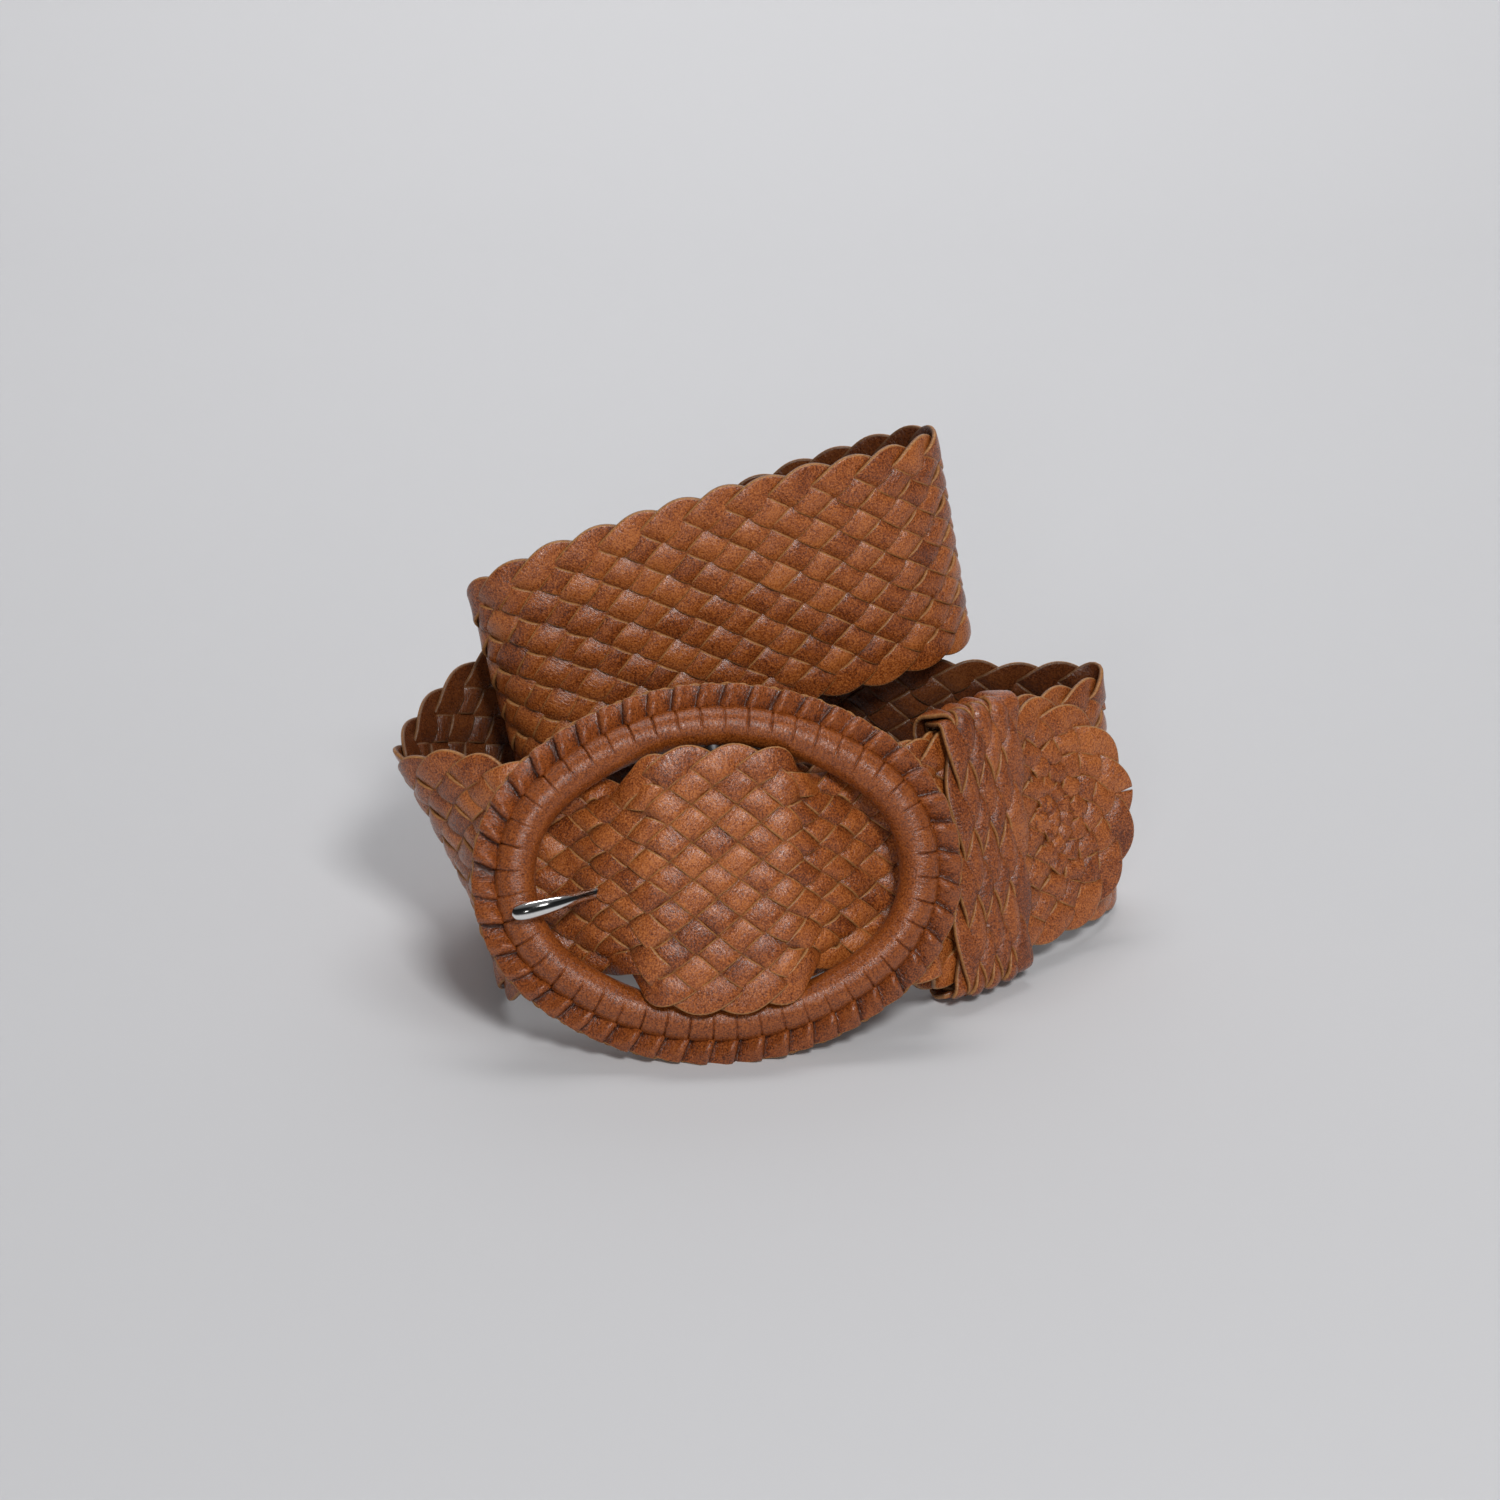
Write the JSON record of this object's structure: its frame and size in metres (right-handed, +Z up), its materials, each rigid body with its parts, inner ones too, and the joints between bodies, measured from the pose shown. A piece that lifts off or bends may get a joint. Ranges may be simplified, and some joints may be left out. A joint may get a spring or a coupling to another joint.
{
  "type": "braided leather belt",
  "caption": "Wide braided leather belt with an oval leather-wrapped buckle, metal prong and braided keeper, buckled and coiled into a double loop standing on edge",
  "frame": {"origin": "middle of the belt's bounding box, on the floor it stands on", "axes": "+X runs along the coil to the wearer-side tip, +Z is up, the buckle faces -Y"},
  "size_m": [0.1919, 0.126, 0.1296],
  "materials": {
    "braid_leather": "satin cognac leather laces with raw tan cut edges",
    "wrap_leather": "smooth satin cognac leather",
    "frill_leather": "pleated satin cognac leather",
    "edge_leather": "matt leather with a raw cut edge",
    "keeper_leather": "satin cognac leather laces with raw tan cut edges",
    "thread": "waxed tan thread",
    "bar_steel": "plain steel rod",
    "core_steel": "plain steel, hidden under leather",
    "prong_chrome": "polished chrome"
  },
  "bodies": {
    "belt": {"strap_lower_run": "braid_leather", "strap_upper_coil": "braid_leather", "strap_front_run": "braid_leather", "strap_tip_run": "braid_leather", "strap_fold": "braid_leather", "fold_stitching": "thread"},
    "buckle": {"bar": "bar_steel", "ring_core": "core_steel", "ring_cover": "wrap_leather", "ring_flange": "edge_leather", "ring_frill": "frill_leather"},
    "tongue": {"prong": "prong_chrome"},
    "keeper": {"keeper_band": "keeper_leather", "keeper_lap": "keeper_leather", "keeper_stitching": "thread"}
  },
  "joints": [
    {"name": "buckle_swing", "type": "hinge", "parent": "belt", "child": "buckle", "pos_m": [-0.01215, -0.04068, 0.042], "axis": [-0.0368, 0.421, 0.9063], "range_deg": [-1, 1]},
    {"name": "prong_lift", "type": "hinge", "parent": "buckle", "child": "tongue", "pos_m": [-0.01215, -0.04068, 0.042], "axis": [-0.0368, 0.421, 0.9063], "range_deg": [0, 4]},
    {"name": "keeper_slide", "type": "slide", "parent": "belt", "child": "keeper", "axis": [0.7547, 0.6561, 0], "range_m": [-0.002, 0.003]}
  ]
}
